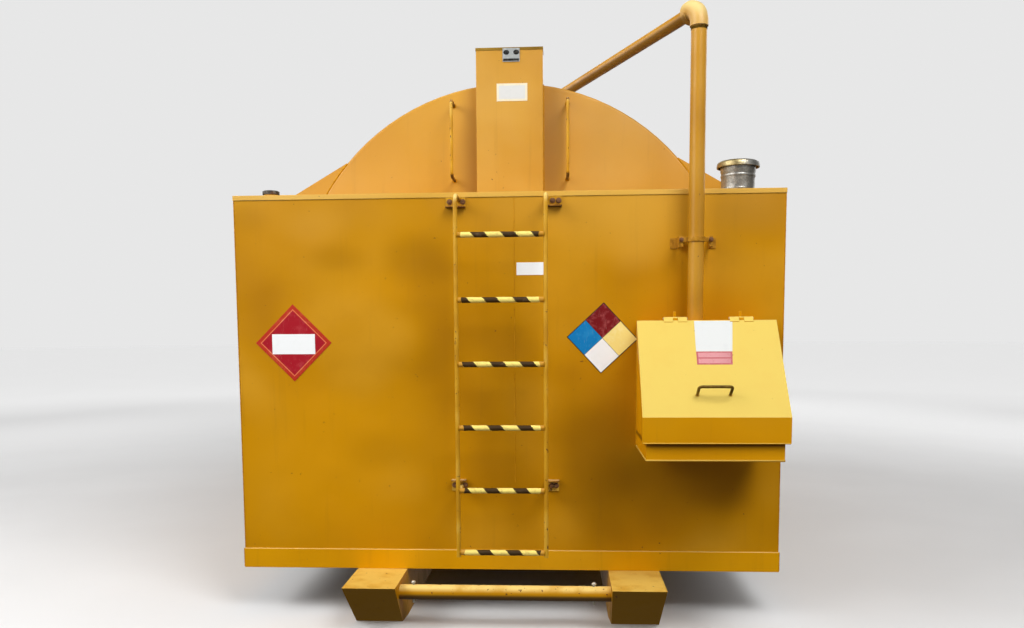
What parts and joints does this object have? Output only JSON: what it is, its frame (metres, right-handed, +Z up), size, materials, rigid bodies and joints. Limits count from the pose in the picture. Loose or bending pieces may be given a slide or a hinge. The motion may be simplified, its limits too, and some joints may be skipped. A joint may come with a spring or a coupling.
{
  "type": "skid-mounted storage tank",
  "caption": "Horizontal steel storage tank in a boxed containment with closed top, on skids, with ladder, spill box, fill line, gauge housing and vent.",
  "frame": {"origin": "at ground level under the middle of the bounding box", "axes": "+Z up, front wall with the ladder faces -Y, +X to the right of someone who faces it, towards the spill box"},
  "size_m": [2.712, 6.27, 2.9755],
  "materials": {
    "tank_yellow": "glossy industrial enamel",
    "lid_yellow": "glossy industrial enamel",
    "handle_yellow": "satin enamel",
    "hazard_tape": "matte, black and yellow bands",
    "galvanised": "galvanised",
    "plug_black": "satin"
  },
  "bodies": {
    "tank": {"base_channel_front": "tank_yellow", "base_channel_left": "tank_yellow", "base_channel_rear": "tank_yellow", "base_channel_right": "tank_yellow", "fill_drop": "tank_yellow", "fill_elbow": "tank_yellow", "fill_riser": "tank_yellow", "fill_run": "tank_yellow", "floor": "tank_yellow", "front_deck": "tank_yellow", "front_wall": "tank_yellow", "gauge_housing": "tank_yellow", "grab_rail_left": "tank_yellow", "grab_rail_right": "tank_yellow", "ladder_rail_left": "tank_yellow", "ladder_rail_right": "tank_yellow", "left_wall": "tank_yellow", "monitor_plug": "plug_black", "monitor_stub": "tank_yellow", "rear_deck": "tank_yellow", "rear_wall": "tank_yellow", "right_wall": "tank_yellow", "riser_clamp": "tank_yellow", "rung_1": "hazard_tape", "rung_2": "hazard_tape", "rung_3": "hazard_tape", "rung_4": "hazard_tape", "rung_5": "hazard_tape", "rung_6": "hazard_tape", "saddle_front": "tank_yellow", "saddle_rear": "tank_yellow", "side_deck_left": "tank_yellow", "side_deck_right": "tank_yellow", "skid_left": "tank_yellow", "skid_right": "tank_yellow", "spill_box": "tank_yellow", "tank_head_front": "tank_yellow", "tank_head_rear": "tank_yellow", "tank_shell": "tank_yellow", "tow_pipe_front": "tank_yellow", "tow_pipe_rear": "tank_yellow", "vent_body": "galvanised"},
    "lid": {"spill_box_lid": "lid_yellow", "lid_handle": "handle_yellow"},
    "vent_cap": {"vent_cap": "galvanised"}
  },
  "joints": [
    {"name": "lid_hinge", "type": "hinge", "parent": "tank", "child": "lid", "pos_m": [0.945, -2.813, 1.4985], "axis": [-1, 0, 0], "range_deg": [0, 140]},
    {"name": "vent_cap_lift", "type": "slide", "parent": "tank", "child": "vent_cap", "axis": [0, 0, 1], "range_m": [0, 0.03]}
  ]
}
